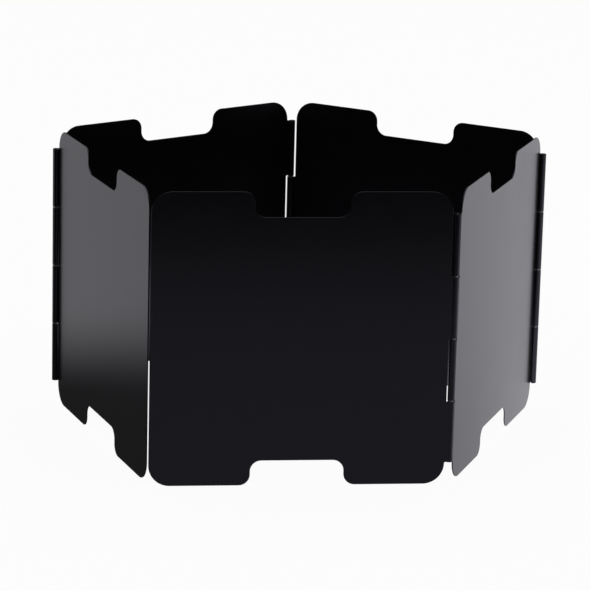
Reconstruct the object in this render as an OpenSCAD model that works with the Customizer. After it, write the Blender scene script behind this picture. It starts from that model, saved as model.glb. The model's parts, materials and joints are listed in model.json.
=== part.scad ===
// Folding stove windscreen: five flat sheet panels in a chain, joined by four upright hinge pins.
// Each panel's hinge eyes are tabs of its own sheet, rolled round the pin.
// Millimetres, +Z up. The screen stands on z = 0, with the origin under the middle of its box.

/* [Panels] */
// Height of each panel
panel_h = 240; // [160:1:320]
// Width of a panel's sheet, without its hinge eyes
panel_w = 237; // [170:1:320]
// Thickness of the sheet
sheet_t = 1; // [0.6:0.1:1.4]
// Radius of a panel's four corners
corner_r = 17; // [6:0.5:24]

/* [Notches] */
// Width of the notch in the middle of each top and bottom edge
notch_w = 75; // [40:1:100]
// Depth of the notch
notch_d = 20.6; // [12:0.2:40]
// Radius of the notch's inner corners
notch_r = 9; // [2:0.5:15]
// Radius of the two corners at the notch's mouth
mouth_r = 9; // [2:0.5:15]

/* [Hinges] */
// Diameter of the hinge pin
pin_d = 4; // [2:0.1:5]
// Radial clearance of the pin in its eyes
pin_clearance = 0.05; // [0.01:0.01:0.1]
// Height left free above and below the row of eyes
hinge_margin = 18; // [10:0.5:40]
// Gap between one eye and the next along the pin
eye_gap = 0.9; // [0.5:0.1:4]
// Gap between an eye and the straight edge of the other panel
edge_gap = 1; // [0.8:0.1:6]
// Gap between two rows of eyes that lie side by side when the screen is folded flat
stack_gap = 0.4; // [0.3:0.05:2]
// Width of the seam where an eye's rolled end comes back to its tab
seam_w = 0.3; // [0.1:0.05:0.5]
// Distance of the pin's ends inside the outermost eyes
pin_inset = 0.5; // [0:0.1:5]
// Chamfer on the pin's ends
pin_chamfer = 0.4; // [0.1:0.1:0.9]

/* [Stake marks] */
// Radius of the punch that stakes the outermost eyes onto the pin
stake_r = 0.9; // [0.5:0.1:1.5]
// Depth of a stake mark
stake_depth = 0.35; // [0.1:0.05:0.5]
// Distance of a stake mark from the end of the row of eyes
stake_inset = 3; // [2:0.5:10]

/* [Bends at rest] */
// Bend at the front right hinge
turn_front_right = 64.8; // [58:0.1:74]
// Bend at the right hinge
turn_right = 79.9; // [70:0.1:82]
// Bend at the back hinge
turn_back = 65.7; // [62:0.1:74]
// Gap that lets the front panel's free edge swing past the left panel's free edge
swing_gap = 0.9; // [0.8:0.1:10]

/* [Hidden] */
$fn = 64;

// How far a cut runs past the faces that it opens
over = 1;
// Angle of a stake mark round its eye, from the side of the tab towards the screen's outside
stake_angle = 135;

bore_r = pin_d / 2 + pin_clearance;
eye_r = bore_r + sheet_t;
eyes = 4;
eye_l = (panel_h - 2 * hinge_margin - (eyes - 1) * eye_gap) / eyes;
// The eyes stand off the sheet's middle, so that four sheets apart two rows of eyes pass each other
eye_offset = (2 * eye_r + stack_gap) / 4;
edge_setback = eye_r + edge_gap;
pin_pitch = panel_w + 2 * edge_setback;
pin_l = panel_h - 2 * (hinge_margin + pin_inset);

corner_fit = min(corner_r, hinge_margin, (panel_w - notch_w) / 4);
notch_fit = min(notch_r, notch_d / 2, notch_w / 2);
mouth_fit = min(mouth_r, notch_d / 2, (panel_w - notch_w) / 4);

// The chain, seen from above: panel 0 is the front one, and hinge j joins panels j and j + 1
function spin(angle, p) = [
    cos(angle) * p[0] - sin(angle) * p[1],
    sin(angle) * p[0] + cos(angle) * p[1]
];
// Pins lie inside the ring at the first and third hinge, and outside it at the second and fourth
function pin_side(j) = j % 2 == 0 ? 1 : -1;
function pin_at(j) = panel_start(j) + spin(heading(j), [pin_pitch, pin_side(j) * eye_offset]);
function panel_start(k) =
    k == 0 ? [0, 0] : pin_at(k - 1) - spin(heading(k), [0, pin_side(k - 1) * eye_offset]);
function heading(k) =
    k == 0 ? 0
    : k == 1 ? turn_front_right
    : k == 2 ? turn_front_right + turn_right
    : k == 3 ? turn_front_right + turn_right + turn_back
    : closing_heading();
// The left panel turns until its free edge is just outside the circle of the front panel's free edge
function closing_heading() =
    let (
        across = pin_at(0) - pin_at(3),
        arm = norm([panel_w + edge_setback, eye_offset]),
        reach = panel_w + edge_setback + swing_gap,
        apart = norm(across),
        corner = acos((apart * apart + arm * arm - reach * reach) / (2 * apart * arm))
    )
    atan2(across[1], across[0]) - corner - atan2(eye_offset, panel_w + edge_setback);

sheet_corners = [
    for (k = [0:4], u = [edge_setback, pin_pitch - edge_setback], y = [-sheet_t / 2, sheet_t / 2])
        panel_start(k) + spin(heading(k), [u, y])
];
eye_sides = [
    for (j = [0:3], d = [[1, 0], [-1, 0], [0, 1], [0, -1]]) pin_at(j) + eye_r * d
];
plan = concat(sheet_corners, eye_sides);
plan_x = [for (p = plan) p[0]];
plan_y = [for (p = plan) p[1]];
middle = [(min(plan_x) + max(plan_x)) / 2, (min(plan_y) + max(plan_y)) / 2];

// A notch, open downwards at y = 0 and centred on x = 0
module notch_outline() {
    translate([-notch_w / 2, -over])
        square([notch_w, notch_d - notch_fit + over]);
    translate([-notch_w / 2 + notch_fit, 0])
        square([notch_w - 2 * notch_fit, notch_d]);
    for (side = [-1, 1]) {
        translate([side * (notch_w / 2 - notch_fit), notch_d - notch_fit])
            circle(notch_fit);
        difference() {
            translate([side * notch_w / 2 - mouth_fit, -over])
                square([2 * mouth_fit, mouth_fit + over]);
            translate([side * (notch_w / 2 + mouth_fit), mouth_fit])
                circle(mouth_fit);
        }
    }
}

// A panel's flat sheet from its left edge at x = 0, with round corners and two notches
module sheet_outline() {
    difference() {
        union() {
            translate([corner_fit, 0])
                square([panel_w - 2 * corner_fit, panel_h]);
            translate([0, corner_fit])
                square([panel_w, panel_h - 2 * corner_fit]);
            for (x = [corner_fit, panel_w - corner_fit], y = [corner_fit, panel_h - corner_fit])
                translate([x, y])
                    circle(corner_fit);
        }
        translate([panel_w / 2, 0])
            notch_outline();
        translate([panel_w / 2, panel_h])
            mirror([0, 1])
                notch_outline();
    }
}

// One rolled eye round the Z axis, with its tab towards +X and the sheet's middle at -eye_offset
module eye() {
    difference() {
        union() {
            cylinder(r = eye_r, h = eye_l);
            translate([0, -eye_offset - sheet_t / 2, 0])
                cube([edge_setback + over, sheet_t, eye_l]);
        }
        translate([0, 0, -over])
            cylinder(r = bore_r, h = eye_l + 2 * over);
        translate([0, -eye_offset + sheet_t / 2, -over])
            cube([eye_r + over, seam_w, eye_l + 2 * over]);
    }
}

// A punch mark in the side of an eye, at its middle height z = 0
module stake_mark() {
    rotate([0, 0, -stake_angle])
        translate([eye_r + stake_r - stake_depth, 0, 0])
            sphere(stake_r);
}

// Every second eye of a hinge, counted from the top, with a stake mark in the hinge's end eye
module eye_row(first) {
    difference() {
        for (i = [first:2:eyes - 1])
            translate([0, 0, panel_h - hinge_margin - (i + 1) * eye_l - i * eye_gap])
                eye();
        translate([0, 0, first == 0 ? panel_h - hinge_margin - stake_inset : hinge_margin + stake_inset])
            stake_mark();
    }
}

// Panel k in its own frame: +X along the chain and +Y into the ring
module panel(k) {
    translate([edge_setback, 0, 0])
        rotate([90, 0, 0])
            linear_extrude(sheet_t, center = true)
                sheet_outline();
    if (k > 0)
        translate([0, pin_side(k - 1) * eye_offset, 0])
            mirror([0, pin_side(k - 1) < 0 ? 1 : 0, 0])
                eye_row(0);
    if (k < 4)
        translate([pin_pitch, pin_side(k) * eye_offset, 0])
            mirror([1, 0, 0])
                mirror([0, pin_side(k) < 0 ? 1 : 0, 0])
                    eye_row(1);
}

// Panel k at its place in the ring
module placed_panel(k) {
    place = panel_start(k) - middle;
    color([0.05, 0.05, 0.055])
        translate([place[0], place[1], 0])
            rotate([0, 0, heading(k)])
                panel(k);
}

// The bare pin of hinge j, with chamfered ends
module placed_pin(j) {
    place = pin_at(j) - middle;
    color([0.75, 0.76, 0.77])
        translate([place[0], place[1], hinge_margin + pin_inset]) {
            cylinder(r1 = pin_d / 2 - pin_chamfer, r2 = pin_d / 2, h = pin_chamfer);
            translate([0, 0, pin_chamfer])
                cylinder(d = pin_d, h = pin_l - 2 * pin_chamfer);
            translate([0, 0, pin_l - pin_chamfer])
                cylinder(r1 = pin_d / 2, r2 = pin_d / 2 - pin_chamfer, h = pin_chamfer);
        }
}

module front_panel() { placed_panel(0); }
module right_panel() { placed_panel(1); }
module back_right_panel() { placed_panel(2); }
module back_left_panel() { placed_panel(3); }
module left_panel() { placed_panel(4); }
module front_right_pin() { placed_pin(0); }
module right_pin() { placed_pin(1); }
module back_pin() { placed_pin(2); }
module left_pin() { placed_pin(3); }

front_panel();
right_panel();
back_right_panel();
back_left_panel();
left_panel();
front_right_pin();
right_pin();
back_pin();
left_pin();
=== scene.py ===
"""Folding stove windscreen: five coated sheet panels in a chain, on four bare steel hinge pins.

Each panel is drawn as the flat blank that a press cuts, with its hinge tabs still straight. The tabs are
then rolled round the pins, so a panel and its eyes are one closed sheet of even thickness with rounded
edges. Lengths are in metres, in the frame of the packed part.
"""

import json
import math
from types import SimpleNamespace

import bpy
import numpy as np
from bpy.props import FloatProperty, FloatVectorProperty, PointerProperty
from mathutils import Matrix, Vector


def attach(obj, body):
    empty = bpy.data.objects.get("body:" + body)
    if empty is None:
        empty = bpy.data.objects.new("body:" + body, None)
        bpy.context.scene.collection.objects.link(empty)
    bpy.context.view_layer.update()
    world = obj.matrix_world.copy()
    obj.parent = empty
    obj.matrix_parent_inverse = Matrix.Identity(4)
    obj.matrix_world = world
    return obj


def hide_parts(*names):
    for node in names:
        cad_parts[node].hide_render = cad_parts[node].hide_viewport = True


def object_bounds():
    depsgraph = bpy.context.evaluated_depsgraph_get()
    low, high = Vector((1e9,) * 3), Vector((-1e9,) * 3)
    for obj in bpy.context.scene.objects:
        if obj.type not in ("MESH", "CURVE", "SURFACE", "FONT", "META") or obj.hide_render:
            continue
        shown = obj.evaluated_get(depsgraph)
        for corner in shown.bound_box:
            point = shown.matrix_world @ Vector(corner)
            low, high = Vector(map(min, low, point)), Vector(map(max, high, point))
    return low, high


bl_info = {
    "name": "Folding stove windscreen",
    "version": (1, 0, 0),
    "blender": (4, 5, 0),
    "location": "View3D > Sidebar > Windscreen",
    "description": "Builds a folding windscreen from sheet panels and hinge pins, with a studio round it",
    "category": "Object",
}

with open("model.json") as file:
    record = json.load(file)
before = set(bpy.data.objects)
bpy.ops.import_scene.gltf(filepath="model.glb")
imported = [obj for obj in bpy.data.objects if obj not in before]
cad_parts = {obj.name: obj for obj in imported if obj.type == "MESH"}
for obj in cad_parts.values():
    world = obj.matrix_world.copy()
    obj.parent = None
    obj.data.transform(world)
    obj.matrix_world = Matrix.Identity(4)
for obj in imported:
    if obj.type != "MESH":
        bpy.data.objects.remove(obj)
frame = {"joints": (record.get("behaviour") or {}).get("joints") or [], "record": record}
CAD_BOX = [list(corner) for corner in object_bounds()]
NODE_BODY = {node: body for body, nodes in frame["record"]["behaviour"]["bodies"].items() for node in nodes}
HINGE_AT = {joint["name"]: np.array(joint["pos_m"][:2]) for joint in frame["joints"]}

# The chain from the front panel's free edge round to the left panel's free edge
PANELS = ("front_panel", "right_panel", "back_right_panel", "back_left_panel", "left_panel")
HINGES = ("front_hinge", "right_hinge", "back_hinge", "left_hinge")
PINS = ("front_right_pin", "right_pin", "back_pin", "left_pin")
# The pins lie inside the ring at the first and third hinge, and outside it at the second and fourth
PIN_SIDE = (1, -1, 1, -1)
EYES = 4
MM = 0.001
# Share of the sheet's half thickness beyond which a point counts as lying on a face
ON_FACE = 0.999
# Width of the flat strip that runs beside a rounding, in radii of the rounding
STRIP = 1.2

# Painted pools of light and shade on the floor: emission levels set by place, which only the object's gloss
# shows. Each one has the way along which it changes, the places where the change starts and ends, and the
# levels before and after it
FRONT_POOL = ((0, 1), (-1.0, -0.86), (0.0, 0.19))
FRONT_LEFT_END = ((1, 0), (-0.32, -0.2), (0.0, 1.0))
FRONT_RIGHT_RISE = ((1, 0), (0.22, 0.5), (1.0, 2.2))
LEFT_POOL = ((-0.508, 0.861), (0.175, 0.47), (0.045, 0.51))
LEFT_EDGE = ((-0.6, 0.8), (-0.06, -0.03), (0.0, 1.0))
RIGHT_POOL = ((-0.748, 0.664), (-0.2, -0.12), (0.65, 1.02))
RIGHT_EDGE = ((0.6, 0.8), (-0.09, -0.06), (0.0, 1.0))
RIGHT_LEFT_END = ((1, 0), (-0.08, 0.1), (0.0, 1.0))
# Sines of the heights above level between which the room overhead grows bright
OVERHEAD_RISE = (0.2, 0.75)
WHITE = (1.0, 1.0, 1.0)
# Width of the camera's sensor in millimetres
SENSOR_WIDTH = 36


class SheetSizes(bpy.types.PropertyGroup):
    """Sizes of a panel's flat sheet, and the bends from panel to panel."""

    width: FloatProperty(
        name="Width", description="Width of the sheet without its tabs", default=237 * MM, unit="LENGTH"
    )
    height: FloatProperty(
        name="Height",
        description="Height of the sheet",
        default=CAD_BOX[1][2] - CAD_BOX[0][2],
        unit="LENGTH",
    )
    thickness: FloatProperty(
        name="Thickness", description="Thickness of the sheet", default=1 * MM, unit="LENGTH"
    )
    corner: FloatProperty(
        name="Corner", description="Radius of the four corners", default=17 * MM, unit="LENGTH"
    )
    notch_width: FloatProperty(
        name="Notch width", description="Width of a notch", default=75 * MM, unit="LENGTH"
    )
    notch_depth: FloatProperty(
        name="Notch depth", description="Depth of a notch", default=20.6 * MM, unit="LENGTH"
    )
    notch_corner: FloatProperty(
        name="Notch corner", description="Radius of a notch's inner corners", default=9 * MM, unit="LENGTH"
    )
    mouth_corner: FloatProperty(
        name="Mouth corner", description="Radius of a notch's outer corners", default=9 * MM, unit="LENGTH"
    )
    edge: FloatProperty(
        name="Edge", description="Rounding of the cut edges", default=0.25 * MM, unit="LENGTH"
    )
    bend_front_right: FloatProperty(
        name="Front right bend", description="Bend at rest", default=math.radians(64.8), subtype="ANGLE"
    )
    bend_right: FloatProperty(
        name="Right bend", description="Bend at rest", default=math.radians(79.9), subtype="ANGLE"
    )
    bend_back: FloatProperty(
        name="Back bend", description="Bend at rest", default=math.radians(65.7), subtype="ANGLE"
    )
    bend_left: FloatProperty(
        name="Left bend", description="Bend at rest", default=math.radians(75.052474), subtype="ANGLE"
    )


class HingeSizes(bpy.types.PropertyGroup):
    """Sizes of the hinge eyes and pins."""

    pin: FloatProperty(
        name="Pin", description="Diameter of a pin", default=4 * MM, unit="LENGTH"
    )
    pin_inset: FloatProperty(
        name="Pin inset", description="Depth of a pin's ends in the eyes", default=0.5 * MM, unit="LENGTH"
    )
    pin_round: FloatProperty(
        name="Pin rounding", description="Rounding of a pin's ends", default=0.4 * MM, unit="LENGTH"
    )
    clearance: FloatProperty(
        name="Clearance", description="Radial clearance round a pin", default=0.05 * MM, unit="LENGTH"
    )
    margin: FloatProperty(
        name="Margin", description="Height free above and below the eyes", default=18 * MM, unit="LENGTH"
    )
    gap: FloatProperty(
        name="Gap", description="Gap between one eye and the next", default=0.9 * MM, unit="LENGTH"
    )
    edge_gap: FloatProperty(
        name="Edge gap", description="Gap from an eye to the other sheet", default=1 * MM, unit="LENGTH"
    )
    stack_gap: FloatProperty(
        name="Stack gap", description="Gap from eyes to eyes, folded flat", default=0.4 * MM, unit="LENGTH"
    )
    bend: FloatProperty(
        name="Tab bend", description="Radius of the bend from tab to eye", default=1.2 * MM, unit="LENGTH"
    )
    curl_end: FloatProperty(
        name="Curl end", description="Angle of the rolled end", default=math.radians(-13), subtype="ANGLE"
    )
    root: FloatProperty(
        name="Tab root", description="Fillet where a tab leaves the sheet", default=0.8 * MM, unit="LENGTH"
    )
    tip: FloatProperty(
        name="Tab tip", description="Radius of a tab's end corners", default=0.6 * MM, unit="LENGTH"
    )
    stake: FloatProperty(
        name="Stake", description="Radius of the punch that stakes an eye", default=0.9 * MM, unit="LENGTH"
    )
    stake_depth: FloatProperty(
        name="Stake depth", description="Depth of a stake mark", default=0.35 * MM, unit="LENGTH"
    )
    stake_inset: FloatProperty(
        name="Stake inset", description="Distance from the row's end", default=3 * MM, unit="LENGTH"
    )
    stake_angle: FloatProperty(
        name="Stake angle", description="Angle round the eye", default=math.radians(-135), subtype="ANGLE"
    )


class Finishes(bpy.types.PropertyGroup):
    """Colours and gloss of the coated sheet and of the bare pins."""

    coat: FloatVectorProperty(
        name="Coat", description="Colour of the coat", default=(0.0014, 0.0014, 0.0013), subtype="COLOR"
    )
    coat_light: FloatVectorProperty(
        name="Light coat", description="Colour in clouds", default=(0.002, 0.002, 0.0019), subtype="COLOR"
    )
    coat_gloss: FloatVectorProperty(
        name="Coat roughness", description="Least and most roughness", default=(0.2, 0.25), size=2
    )
    coat_sheen: FloatVectorProperty(
        name="Coat sheen", description="Tint of the gloss", default=(0.84, 0.8, 1.0), subtype="COLOR"
    )
    coat_index: FloatProperty(
        name="Coat index", description="Refractive index of the coat", default=1.65
    )
    clouds: FloatProperty(
        name="Clouds", description="Clouds per metre in the coat's colour and gloss", default=38
    )
    grain: FloatProperty(
        name="Grain", description="Size of the coat's grain", default=0.45 * MM, unit="LENGTH"
    )
    grain_height: FloatProperty(
        name="Grain height", description="Height of the coat's grain", default=0.004 * MM, unit="LENGTH"
    )
    steel: FloatVectorProperty(
        name="Steel", description="Colour of the bare pins", default=(0.66, 0.66, 0.66), subtype="COLOR"
    )
    steel_dark: FloatVectorProperty(
        name="Dark steel", description="Colour in lines", default=(0.52, 0.52, 0.52), subtype="COLOR"
    )
    steel_gloss: FloatVectorProperty(
        name="Steel roughness", description="Least and most roughness", default=(0.12, 0.22), size=2
    )
    lines: FloatVectorProperty(
        name="Lines", description="Drawing lines per metre", default=(3500, 3500, 25), subtype="XYZ"
    )
    line_height: FloatProperty(
        name="Line height", description="Height of the drawing lines", default=0.004 * MM, unit="LENGTH"
    )
    line_strength: FloatProperty(
        name="Line strength", description="Share of that height", default=0.4, subtype="FACTOR"
    )


class StudioSettings(bpy.types.PropertyGroup):
    """The floor, the light and the camera."""

    floor: FloatProperty(
        name="Floor", description="Side of the floor", default=24.0, unit="LENGTH"
    )
    floor_colour: FloatVectorProperty(
        name="Floor colour", description="Colour of the pale floor", default=(0.8, 0.8, 0.8), subtype="COLOR"
    )
    floor_white: FloatProperty(
        name="Floor white", description="Share of white for the camera", default=0.95, subtype="FACTOR"
    )
    # Tint of the painted pools of light that the object's gloss shows
    floor_tint: FloatVectorProperty(
        name="Floor tint", description="Tint in the gloss", default=(0.98, 0.98, 1.015), subtype="COLOR"
    )
    room: FloatProperty(
        name="Room", description="Level of the room's soft light", default=0.7, subtype="FACTOR"
    )
    overhead: FloatProperty(
        name="Overhead", description="Level overhead in the gloss", default=0.3, subtype="FACTOR"
    )
    lamp: FloatProperty(
        name="Lamp", description="Power of the soft light overhead", default=18.0, unit="POWER"
    )
    lamp_size: FloatProperty(
        name="Lamp size", description="Side of the soft light", default=3.0, unit="LENGTH"
    )
    lamp_at: FloatVectorProperty(
        name="Lamp place",
        description="Place of the soft light",
        default=(0.25, 0.35, 2.4),
        subtype="TRANSLATION",
    )
    camera_at: FloatVectorProperty(
        name="Camera place",
        description="Place of the camera",
        default=(-0.282552, -2.515819, 0.777919),
        subtype="TRANSLATION",
    )
    yaw: FloatProperty(
        name="Yaw", description="Turn to the right of +Y", default=math.radians(6.242), subtype="ANGLE"
    )
    pitch: FloatProperty(
        name="Pitch", description="Tilt below level", default=math.radians(14.826), subtype="ANGLE"
    )
    roll: FloatProperty(
        name="Roll", description="Roll about its axis", default=math.radians(-1.428), subtype="ANGLE"
    )
    focal: FloatProperty(
        name="Focal length", description="In heights of an image of 590 by 591", default=3094.58 / 591
    )


def derived(sheet, hinge):
    """Sizes that follow from the sheet's and the hinge's own ones.

    The tab's middle line leaves the sheet straight, turns on a bend of radius q about (x_b, -offset - q),
    and runs on round the pin at radius mid. The circles touch where
    x_b**2 + (offset + q)**2 = (q + mid)**2.
    """
    g = SimpleNamespace()
    g.half = sheet.thickness / 2
    g.mid = hinge.pin / 2 + hinge.clearance + g.half
    g.eye = g.mid + g.half
    g.offset = (2 * g.eye + hinge.stack_gap) / 4
    g.setback = g.eye + hinge.edge_gap
    g.pitch = sheet.width + 2 * g.setback
    g.eye_length = (sheet.height - 2 * hinge.margin - (EYES - 1) * hinge.gap) / EYES
    g.q = hinge.bend
    drop = g.offset + g.q
    g.x_b = math.sqrt((g.q + g.mid) ** 2 - drop**2)
    g.straight = g.setback - g.x_b
    g.bend_end = g.straight + g.q * math.atan2(g.x_b, drop)
    g.wrap_from = math.atan2(-drop, g.x_b)
    g.tab = g.bend_end + g.mid * (g.wrap_from - hinge.curl_end + 2 * math.pi)
    g.stake_along = g.bend_end + g.mid * (g.wrap_from - hinge.stake_angle)
    g.stake_low = hinge.margin + hinge.stake_inset
    g.stake_high = sheet.height - g.stake_low
    return g


def roll(along, across, g):
    """A tab's point after rolling, in its eye's frame: the pin at the origin and the tab towards +X.

    `along` is the length from the sheet's edge, and `across` the distance from the middle line, positive
    towards the pin. The middle line is (setback - along, -offset) at first, then
    (x_b, -offset - q) + q * (cos f, sin f) with f growing from 90 degrees, then mid * (cos w, sin w) with w
    falling from wrap_from. The point lies `across` from it along the line's normal.
    """
    f = math.pi / 2 + (along - g.straight) / g.q
    w = g.wrap_from - (along - g.bend_end) / g.mid
    flat, curled = along <= g.straight, along > g.bend_end
    x = np.where(flat, g.setback - along, g.x_b + (g.q + across) * np.cos(f))
    y = np.where(flat, across - g.offset, -g.offset - g.q + (g.q + across) * np.sin(f))
    radius = g.mid - across
    return np.where(curled, radius * np.cos(w), x), np.where(curled, radius * np.sin(w), y)


def roll_tabs(points, along, side, mark, hinge, g):
    """Rolls the points whose `along` is positive, and presses the punch's mark into the outer side.

    At the distance s from the mark's middle at height `mark`, measured on the eye, a punch of radius R sinks
    the surface by depth - R + sqrt(R**2 - s**2) where that is positive. Gives the rolled points' mask and
    their new x and y.
    """
    tab = along > 0
    reach, across = along[tab], side * points[tab, 1]
    s = np.hypot((reach - g.stake_along) * g.eye / g.mid, points[tab, 2] - mark)
    dent = hinge.stake_depth - hinge.stake + np.sqrt(np.maximum(hinge.stake**2 - s**2, 0))
    outer_face = across < -ON_FACE * g.half
    across = across + np.where(outer_face, np.maximum(dent, 0), 0)
    x, y = roll(reach, across, g)
    return tab, x, side * (g.offset + y)


def round_corners(corners, radii, steps):
    """Arcs that round a closed polygon's corners, with their normals to the left of the path.

    Where the unit directions into and out of a corner P are e and f, with the turn t from e to f, the arc of
    radius r starts at P - e * r * tan(|t| / 2), and its centre lies r from there on the side of the turn.
    The normal is e's left normal turned by 0 to t. Both arrays are corners x steps x 2.
    """
    e = corners - np.roll(corners, 1, axis=0)
    e = e / np.linalg.norm(e, axis=1, keepdims=True)
    f = np.roll(e, -1, axis=0)
    turn = np.arctan2(e[:, 0] * f[:, 1] - e[:, 1] * f[:, 0], (e * f).sum(axis=1))
    reach = np.sign(turn) * radii
    left = np.stack([-e[:, 1], e[:, 0]], axis=1)
    centre = corners - e * (radii * np.tan(np.abs(turn) / 2))[:, None] + left * reach[:, None]
    angle = turn[:, None] * np.linspace(0, 1, steps)
    c, s = np.cos(angle), np.sin(angle)
    normal = np.stack([left[:, :1] * c - left[:, 1:] * s, left[:, :1] * s + left[:, 1:] * c], axis=2)
    return centre[:, None] - normal * reach[:, None, None], normal


def tab_corners(root, end, near, far, hinge):
    """Corners (u, z, radius) of one straight tab, out from its root at `near` and back to it at `far`."""
    return [(root, near, hinge.root), (end, near, hinge.tip), (end, far, hinge.tip), (root, far, hinge.root)]


def blank_corners(sheet, hinge, g, left_tabs, right_tabs):
    """Corners (u, z, radius) of the flat blank, and the number of each tab's first corner.

    They run anticlockwise, seen from outside. u runs along the chain from the start pin's line, and z is up.
    Tabs are given by their lower and upper ends.
    """
    u0, u1, h = g.setback, g.setback + sheet.width, sheet.height
    a, b = (u0 + u1 - sheet.notch_width) / 2, (u0 + u1 + sheet.notch_width) / 2
    d, corner, mouth, inner = sheet.notch_depth, sheet.corner, sheet.mouth_corner, sheet.notch_corner
    first = []
    corners = [(u0, 0, corner), (a, 0, mouth), (a, d, inner), (b, d, inner), (b, 0, mouth), (u1, 0, corner)]
    for low, high in right_tabs[::-1]:
        first.append(len(corners))
        corners += tab_corners(u1, u1 + g.tab, low, high, hinge)
    corners += [(u1, h, corner), (b, h, mouth), (b, h - d, inner)]
    corners += [(a, h - d, inner), (a, h, mouth), (u0, h, corner)]
    for low, high in left_tabs:
        first.append(len(corners))
        corners += tab_corners(u0, u0 - g.tab, high, low, hinge)
    return np.array(corners), first


def blank_outline(corners, first, marks, spread, steps=13, rows=62):
    """The blank's outline as points and inward normals, and its tabs.

    Each corner becomes an arc. The two sides of a tab have the same `rows` points between their arcs. The
    end of a tab that gets a stake mark has points at the distances `spread` from the mark's height. A tab is
    given by the numbers of its first, last and end points.
    """
    arcs, normals = round_corners(corners[:, :2], corners[:, 2], steps)
    part = {start + i: (tab, i) for tab, start in enumerate(first) for i in range(4)}
    points, inward, count = [], [], 0
    begins, ends, tips = {}, {}, {}
    for c in range(len(corners)):
        points.append(arcs[c])
        inward.append(normals[c])
        count += steps
        tab, i = part.get(c, (None, 3))
        # Nothing stands between a tab's last corner, or a corner of the sheet, and the next corner
        if i == 3:
            ends[tab] = count - 1
            continue
        here, there = arcs[c][-1], arcs[c + 1][0]
        share = np.linspace(0, 1, rows + 2)[1:-1]
        if i == 0:
            begins[tab] = count - steps
        if i == 1:
            share = np.zeros(0)
            if marks[tab] is not None:
                share = np.sort((marks[tab] + spread - here[1]) / (there[1] - here[1]))
            tips[tab] = np.arange(count - 1, count + len(share) + 1)
        points.append(here + share[:, None] * (there - here))
        inward.append(np.repeat(normals[c][-1:], len(share), axis=0))
        count += len(share)
    tabs = [(begins[tab], ends[tab], tips[tab]) for tab in range(len(first))]
    return np.concatenate(points), np.concatenate(inward), tabs


def rim_section(sheet, steps=5):
    """Section of the cut edge from the outer face to the inner one, as inset and height off the middle.

    Two quarter rounds of radius r meet the edge's flat middle: inset = r - r * sin a and
    height = half - r + r * cos a with a from 0 to 90 degrees. A narrow flat strip on each face keeps the
    shading of the faces flat.
    """
    r, half = sheet.edge, sheet.thickness / 2
    a = np.linspace(0, math.pi / 2, steps)
    inset = np.concatenate([[STRIP * r], r - r * np.sin(a)])
    height = np.concatenate([[half], half - r + r * np.cos(a)])
    return np.concatenate([inset, inset[::-1]]), np.concatenate([-height, height[::-1]])


def grid_quads(grid):
    """Quads between the neighbouring rows and columns of a grid of point numbers."""
    return np.stack([grid[:-1, :-1], grid[1:, :-1], grid[1:, 1:], grid[:-1, 1:]], axis=2).reshape(-1, 4)


def close_face(number, rim, tabs, height, total):
    """Closes one face of a blank: a flat polygon for the sheet, and for each tab a grid of rows by columns.

    Row i of a grid joins the i-th outline points on the tab's two sides, and its inner points have the row's
    u and the z of the points on the tab's end. Gives the new points, the grids' quads and the polygon.
    """
    points, quads, polygon, done = [np.zeros((0, 3))], [np.zeros((0, 4), int)], [], 0
    for begin, end, tip in tabs:
        deep, wide = tip[0] - begin + 1, len(tip) - 2
        grid = np.empty((deep, wide + 2), int)
        grid[:, 0] = number[begin : begin + deep]
        grid[:, -1] = number[end - deep + 1 : end + 1][::-1]
        grid[-1] = number[tip]
        grid[:-1, 1:-1] = total + np.arange((deep - 1) * wide).reshape(deep - 1, wide)
        total += (deep - 1) * wide
        u = np.repeat(rim[grid[:-1, 0], 0], wide)
        z = np.tile(rim[grid[-1, 1:-1], 2], deep - 1)
        points.append(np.stack([u, np.full(len(u), height), z], axis=1))
        quads.append(grid_quads(grid))
        polygon += number[done : begin + 1].tolist() + grid[0, 1:-1].tolist()
        done = end
    polygon += number[done:].tolist()
    return np.concatenate(points), np.concatenate(quads), polygon


def panel_mesh(sheet, hinge, g, k):
    """Points and faces of panel k in its own frame: +X along the chain, +Y into the ring, z up.

    The edge's section is carried round the blank's outline, both faces are closed, and the tabs are rolled.
    """
    top = sheet.height - hinge.margin - np.arange(EYES) * (g.eye_length + hinge.gap)
    spans = np.stack([top - g.eye_length, top], axis=1)
    left = spans[0::2] if k > 0 else spans[:0]
    right = spans[1::2] if k < len(HINGES) else spans[:0]
    marks = [g.stake_low, None][: len(right)] + [g.stake_high, None][: len(left)]
    corners, first = blank_corners(sheet, hinge, g, left, right)
    spread = np.linspace(-1, 1, 13) * hinge.stake
    outline, inward, tabs = blank_outline(corners, first, marks, spread)

    inset, height = rim_section(sheet)
    u, z = (outline[:, i : i + 1] + inward[:, i : i + 1] * inset for i in (0, 1))
    rim = np.stack([u, np.broadcast_to(height, u.shape), z], axis=2).reshape(-1, 3)
    number = np.arange(len(rim)).reshape(u.shape)
    quads = grid_quads(np.concatenate([number, number[:1]]).T)
    out_points, out_quads, out_face = close_face(number[:, 0], rim, tabs, height[0], len(rim))
    total = len(rim) + len(out_points)
    in_points, in_quads, in_face = close_face(number[:, -1], rim, tabs, height[-1], total)
    points = np.concatenate([rim, out_points, in_points])
    faces = np.concatenate([quads, out_quads, in_quads[:, ::-1]]).tolist() + [out_face, in_face[::-1]]

    if k > 0:
        along = g.setback - points[:, 0]
        tab, x, y = roll_tabs(points, along, PIN_SIDE[k - 1], g.stake_high, hinge, g)
        points[tab, 0], points[tab, 1] = x, y
    if k < len(HINGES):
        along = points[:, 0] - g.setback - sheet.width
        tab, x, y = roll_tabs(points, along, PIN_SIDE[k], g.stake_low, hinge, g)
        points[tab, 0], points[tab, 1] = g.pitch - x, y
    return points, faces


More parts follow.
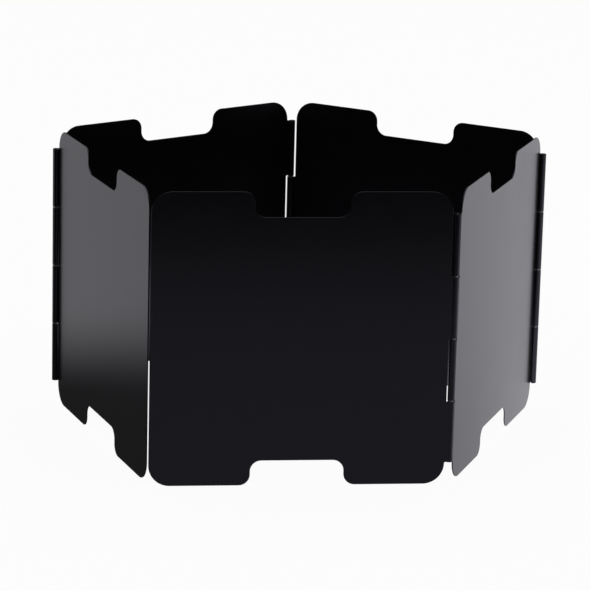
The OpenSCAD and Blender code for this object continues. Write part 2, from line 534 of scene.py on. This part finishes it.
def place_panel(points, sheet, g, k):
    """Turns panel k by the sum of the bends before it, and sets its pin's line on the hinge's place."""
    heading = sum((sheet.bend_front_right, sheet.bend_right, sheet.bend_back, sheet.bend_left)[:k])
    c, s = math.cos(heading), math.sin(heading)
    turn = np.array([[c, -s], [s, c]])
    j = max(k - 1, 0)
    pin = np.array([0 if k > 0 else g.pitch, PIN_SIDE[j] * g.offset])
    placed = points.copy()
    placed[:, :2] = (points[:, :2] - pin) @ turn.T + HINGE_AT[HINGES[j]]
    return placed


def lathe(profile, around=48):
    """Closed turned surface: ring i has the radius and height of profile[i], and a point closes each end.

    Point (i, j) is (r_i * cos a_j, r_i * sin a_j, z_i) with the angles a_j spread evenly over the full turn.
    """
    a = np.arange(around) * 2 * math.pi / around
    r, z = profile[:, 0], profile[:, 1]
    rings = np.stack([np.outer(r, np.cos(a)), np.outer(r, np.sin(a)), np.outer(z, np.ones(around))], axis=2)
    points = np.concatenate([rings.reshape(-1, 3), [[0, 0, z[0]], [0, 0, z[-1]]]])
    number = np.arange(len(profile) * around).reshape(-1, around)
    after = np.roll(number, -1, axis=1)
    quads = np.stack([number[:-1], after[:-1], after[1:], number[1:]], axis=2).reshape(-1, 4)
    low = np.stack([np.full(around, number.size), after[0], number[0]], axis=1)
    high = np.stack([np.full(around, number.size + 1), number[-1], after[-1]], axis=1)
    return points, quads.tolist() + low.tolist() + high.tolist()


def pin_profile(sheet, hinge, steps=7):
    """Radius and height of a straight pin with round ends, from its lower end to its upper one.

    A round of radius e is r - e + e * sin a out and e - e * cos a up, with a from 0 to 90 degrees. Two rings
    on the flat end and one on the straight side keep the shading there even.
    """
    r, e = hinge.pin / 2, hinge.pin_round
    low = hinge.margin + hinge.pin_inset
    halfway, beside_round = 0.5 * r, 0.98 * (r - e)
    a = np.linspace(0, math.pi / 2, steps)
    radius = np.concatenate([[halfway, beside_round], r - e + e * np.sin(a), [r]])
    height = np.concatenate([[low, low], low + e - e * np.cos(a), [low + STRIP * e]])
    out = np.concatenate([radius, radius[::-1]])
    up = np.concatenate([height, sheet.height - height[::-1]])
    return np.stack([out, up], axis=1)


def add_object(name, data):
    """A new object in the scene, at the origin."""
    item = bpy.data.objects.new(name, data)
    bpy.context.scene.collection.objects.link(item)
    return item


def add_piece(name, points, faces, material, node):
    """Puts a piece into the scene in place of a CAD node, riding on that node's body."""
    mesh = bpy.data.meshes.new(name)
    mesh.from_pydata(points.tolist(), [], faces)
    mesh.polygons.foreach_set("use_smooth", np.ones(len(mesh.polygons), bool))
    mesh.materials.append(material)
    mesh.update()
    piece = add_object(name, mesh)
    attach(piece, NODE_BODY[node])
    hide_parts(node)


def add_node(tree, kind, inputs=None, **settings):
    """A new shader node. An input given as a socket is linked, and any other is set as a value."""
    node = tree.nodes.new(kind)
    for key, value in settings.items():
        setattr(node, key, value)
    for key, value in (inputs or {}).items():
        if isinstance(value, bpy.types.NodeSocket):
            tree.links.new(value, node.inputs[key])
        else:
            node.inputs[key].default_value = value
    return node


def combine(tree, operation, a, b):
    """Result of a Math node on two numbers."""
    return add_node(tree, "ShaderNodeMath", {0: a, 1: b}, operation=operation).outputs[0]


def between(tree, factor, low, high):
    """Number, or colour given as three numbers, that runs from low to high with the factor."""
    if isinstance(low, (float, bpy.types.NodeSocket)):
        return add_node(tree, "ShaderNodeMix", {0: factor, 2: low, 3: high}).outputs[0]
    mix = add_node(tree, "ShaderNodeMix", {0: factor, 6: (*low, 1), 7: (*high, 1)}, data_type="RGBA")
    return mix.outputs[2]


def ease(tree, value, start, end):
    """Smooth step of a value: 0 at start, 1 at end, level beyond them."""
    limits = {"Value": value, "From Min": start, "From Max": end}
    step = add_node(tree, "ShaderNodeMapRange", limits, interpolation_type="SMOOTHSTEP")
    return step.outputs["Result"]


def new_material(name):
    """An empty node material, its tree and its output node."""
    material = bpy.data.materials.new(name)
    material.use_nodes = True
    material.node_tree.nodes.clear()
    return material, material.node_tree, material.node_tree.nodes.new("ShaderNodeOutputMaterial")


def coat_material(finish):
    """Satin black coat on sheet metal: very dark, with a broad soft gloss and a fine baked grain."""
    material, tree, output = new_material("satin_black_coat")
    place = add_node(tree, "ShaderNodeTexCoord").outputs["Object"]
    noise = {"Vector": place, "Scale": finish.clouds, "Detail": 4.0}
    cloud = add_node(tree, "ShaderNodeTexNoise", noise).outputs[0]
    noise = {"Vector": place, "Scale": 1 / finish.grain, "Detail": 2.0}
    grain = add_node(tree, "ShaderNodeTexNoise", noise).outputs[0]
    relief = {"Strength": 1.0, "Distance": finish.grain_height, "Height": grain}
    shader = add_node(
        tree,
        "ShaderNodeBsdfPrincipled",
        {
            "Base Color": between(tree, cloud, finish.coat, finish.coat_light),
            "Roughness": between(tree, cloud, *finish.coat_gloss),
            "Normal": add_node(tree, "ShaderNodeBump", relief).outputs["Normal"],
            "IOR": finish.coat_index,
            "Specular Tint": (*finish.coat_sheen, 1),
        },
    )
    tree.links.new(shader.outputs["BSDF"], output.inputs["Surface"])
    return material


def steel_material(finish):
    """Bare drawn steel: fine lines along the pin in its colour, gloss and relief."""
    material, tree, output = new_material("drawn_steel")
    place = add_node(tree, "ShaderNodeTexCoord").outputs["Object"]
    drawn = add_node(tree, "ShaderNodeMapping", {"Vector": place, "Scale": finish.lines})
    noise = {"Vector": drawn.outputs["Vector"], "Scale": 1.0, "Detail": 3.0}
    lines = add_node(tree, "ShaderNodeTexNoise", noise).outputs[0]
    relief = {"Strength": finish.line_strength, "Distance": finish.line_height, "Height": lines}
    shader = add_node(
        tree,
        "ShaderNodeBsdfPrincipled",
        {
            "Base Color": between(tree, lines, finish.steel_dark, finish.steel),
            "Roughness": between(tree, lines, *finish.steel_gloss),
            "Normal": add_node(tree, "ShaderNodeBump", relief).outputs["Normal"],
            "Metallic": 1.0,
        },
    )
    tree.links.new(shader.outputs["BSDF"], output.inputs["Surface"])
    return material


def ray_kinds(tree):
    """1 for camera rays, and 1 for rays that show the surroundings in a gloss or through glass."""
    path = add_node(tree, "ShaderNodeLightPath").outputs
    gloss = combine(tree, "MAXIMUM", path["Is Glossy Ray"], path["Is Transmission Ray"])
    return path["Is Camera Ray"], gloss


def floor_material(studio):
    """Pale studio floor: white to the camera, with the object's faint shadow.

    In the object's gloss it shows painted pools of light, emission set by place that no lamp casts: a bright
    one to the right and behind, a weaker one that starts away from the left side, and in front a dim one
    that grows lighter to the right and ends to the left.
    """
    material, tree, output = new_material("pale_floor")
    place = add_node(tree, "ShaderNodeTexCoord").outputs["Object"]

    def light(way, change, levels):
        """Level that changes along a way on the floor."""
        along = add_node(tree, "ShaderNodeVectorMath", {0: place, 1: (*way, 0)}, operation="DOT_PRODUCT")
        return between(tree, ease(tree, along.outputs["Value"], *change), *levels)

    # Painted pools of light: the floor's gloss level is built from the levels set by place
    front = combine(tree, "MULTIPLY", light(*FRONT_POOL), light(*FRONT_LEFT_END))
    front = combine(tree, "MULTIPLY", front, light(*FRONT_RIGHT_RISE))
    right_side = combine(tree, "MULTIPLY", light(*RIGHT_EDGE), light(*RIGHT_LEFT_END))
    room = between(tree, light(*LEFT_EDGE), front, light(*LEFT_POOL))
    room = between(tree, right_side, room, light(*RIGHT_POOL))

    camera, gloss = ray_kinds(tree)
    # To the camera the floor is plain white; in the gloss its emission is the painted pools of light, tinted
    shine = {
        "Color": between(tree, gloss, WHITE, studio.floor_tint),
        "Strength": between(tree, gloss, 1.0, room),
    }
    white = add_node(tree, "ShaderNodeEmission", shine).outputs[0]
    lit = add_node(tree, "ShaderNodeBsdfDiffuse", {"Color": (*studio.floor_colour, 1)}).outputs[0]
    share = combine(tree, "MAXIMUM", combine(tree, "MULTIPLY", camera, studio.floor_white), gloss)
    mix = add_node(tree, "ShaderNodeMixShader", {0: share, 1: lit, 2: white})
    tree.links.new(mix.outputs[0], output.inputs["Surface"])
    return material


def studio_floor(studio):
    """Square floor at z = 0."""
    side = studio.floor / 2
    corners = [(-side, -side, 0), (side, -side, 0), (side, side, 0), (-side, side, 0)]
    mesh = bpy.data.meshes.new("floor")
    mesh.from_pydata(corners, [], [(0, 1, 2, 3)])
    mesh.materials.append(floor_material(studio))
    return mesh


def studio_world(studio):
    """White to the camera, a soft room to the object, and in its gloss a dark room with light overhead."""
    world = bpy.data.worlds.new("studio")
    world.use_nodes = True
    tree = world.node_tree
    tree.nodes.clear()
    way = add_node(tree, "ShaderNodeTexCoord").outputs["Generated"]
    up = add_node(tree, "ShaderNodeSeparateXYZ", {0: way}).outputs["Z"]
    overhead = between(tree, ease(tree, up, *OVERHEAD_RISE), 0.0, studio.overhead)
    camera, gloss = ray_kinds(tree)
    level = between(tree, camera, between(tree, gloss, studio.room, overhead), 1.0)
    light = add_node(tree, "ShaderNodeBackground", {"Strength": level})
    output = tree.nodes.new("ShaderNodeOutputWorld")
    tree.links.new(light.outputs[0], output.inputs["Surface"])
    return world


def softbox_lamp(studio):
    """Square soft light that shines down."""
    lamp = bpy.data.lights.new("softbox", "AREA")
    lamp.energy, lamp.size = studio.lamp, studio.lamp_size
    return lamp


def camera_lens(studio):
    """Camera whose focal length is given in image heights."""
    camera = bpy.data.cameras.new("camera")
    camera.sensor_width = SENSOR_WIDTH
    camera.lens = studio.focal * SENSOR_WIDTH
    return camera


def camera_stand(studio):
    """Place and axes of the camera.

    It looks along (sin yaw * cos pitch, cos yaw * cos pitch, -sin pitch). Its right side is
    (cos yaw, -sin yaw, 0) before the roll, which turns it towards the camera's underside.
    """
    y, p, r = studio.yaw, studio.pitch, studio.roll
    forward = np.array([math.sin(y) * math.cos(p), math.cos(y) * math.cos(p), -math.sin(p)])
    right = np.array([math.cos(y), -math.sin(y), 0])
    down = np.cross(forward, right)
    axes = [right * math.cos(r) + down * math.sin(r), right * math.sin(r) - down * math.cos(r), -forward]
    return Matrix.Translation(studio.camera_at) @ Matrix(np.stack(axes, axis=1).tolist()).to_4x4()


class WINDSCREEN_OT_panels(bpy.types.Operator):
    """Make the five sheet panels with their rolled hinge eyes"""

    bl_idname = "windscreen.panels"
    bl_label = "Make panels"

    def execute(self, context):
        sheet, hinge = context.scene.windscreen_sheet, context.scene.windscreen_hinge
        coat = coat_material(context.scene.windscreen_finish)
        g = derived(sheet, hinge)
        for k, node in enumerate(PANELS):
            points, faces = panel_mesh(sheet, hinge, g, k)
            placed = place_panel(points, sheet, g, k)
            add_piece(node.replace("panel", "sheet"), placed, faces, coat, node)
        return {"FINISHED"}


class WINDSCREEN_OT_pins(bpy.types.Operator):
    """Make the four hinge pins"""

    bl_idname = "windscreen.pins"
    bl_label = "Make pins"

    def execute(self, context):
        sheet, hinge = context.scene.windscreen_sheet, context.scene.windscreen_hinge
        steel = steel_material(context.scene.windscreen_finish)
        points, faces = lathe(pin_profile(sheet, hinge))
        for node, joint in zip(PINS, HINGES):
            placed = points + np.append(HINGE_AT[joint], 0)
            add_piece(node.replace("pin", "rod"), placed, faces, steel, node)
        return {"FINISHED"}


class WINDSCREEN_OT_studio(bpy.types.Operator):
    """Set the floor, the light and the camera"""

    bl_idname = "windscreen.studio"
    bl_label = "Set studio"

    def execute(self, context):
        scene, studio = context.scene, context.scene.windscreen_studio
        add_object("floor", studio_floor(studio))
        scene.world = studio_world(studio)
        add_object("softbox", softbox_lamp(studio)).location = studio.lamp_at
        scene.camera = add_object("camera", camera_lens(studio))
        scene.camera.matrix_world = camera_stand(studio)
        scene.view_settings.view_transform = "Standard"
        return {"FINISHED"}


class WINDSCREEN_PT_sidebar(bpy.types.Panel):
    """Sizes, finishes and steps of the windscreen"""

    bl_idname = "WINDSCREEN_PT_sidebar"
    bl_label = "Folding windscreen"
    bl_space_type = "VIEW_3D"
    bl_region_type = "UI"
    bl_category = "Windscreen"

    def draw(self, context):
        for group in GROUPS:
            box = self.layout.box()
            box.label(text=GROUPS[group].__doc__)
            settings = getattr(context.scene, group)
            for name in GROUPS[group].__annotations__:
                box.prop(settings, name)
        for step in STEPS:
            self.layout.operator(step.bl_idname)


GROUPS = {
    "windscreen_sheet": SheetSizes,
    "windscreen_hinge": HingeSizes,
    "windscreen_finish": Finishes,
    "windscreen_studio": StudioSettings,
}
STEPS = (WINDSCREEN_OT_panels, WINDSCREEN_OT_pins, WINDSCREEN_OT_studio)


def register():
    """Registers the settings, the steps and the sidebar."""
    for cls in (*GROUPS.values(), *STEPS, WINDSCREEN_PT_sidebar):
        bpy.utils.register_class(cls)
    for name, cls in GROUPS.items():
        setattr(bpy.types.Scene, name, PointerProperty(type=cls))


def unregister():
    """Takes away what register() added."""
    for name in GROUPS:
        delattr(bpy.types.Scene, name)
    for cls in (WINDSCREEN_PT_sidebar, *reversed(STEPS), *reversed(GROUPS.values())):
        bpy.utils.unregister_class(cls)


def main():
    """Builds the windscreen and its studio."""
    register()
    bpy.ops.windscreen.panels()
    bpy.ops.windscreen.pins()
    bpy.ops.windscreen.studio()
    bpy.context.view_layer.update()


if __name__ == "__main__":
    main()
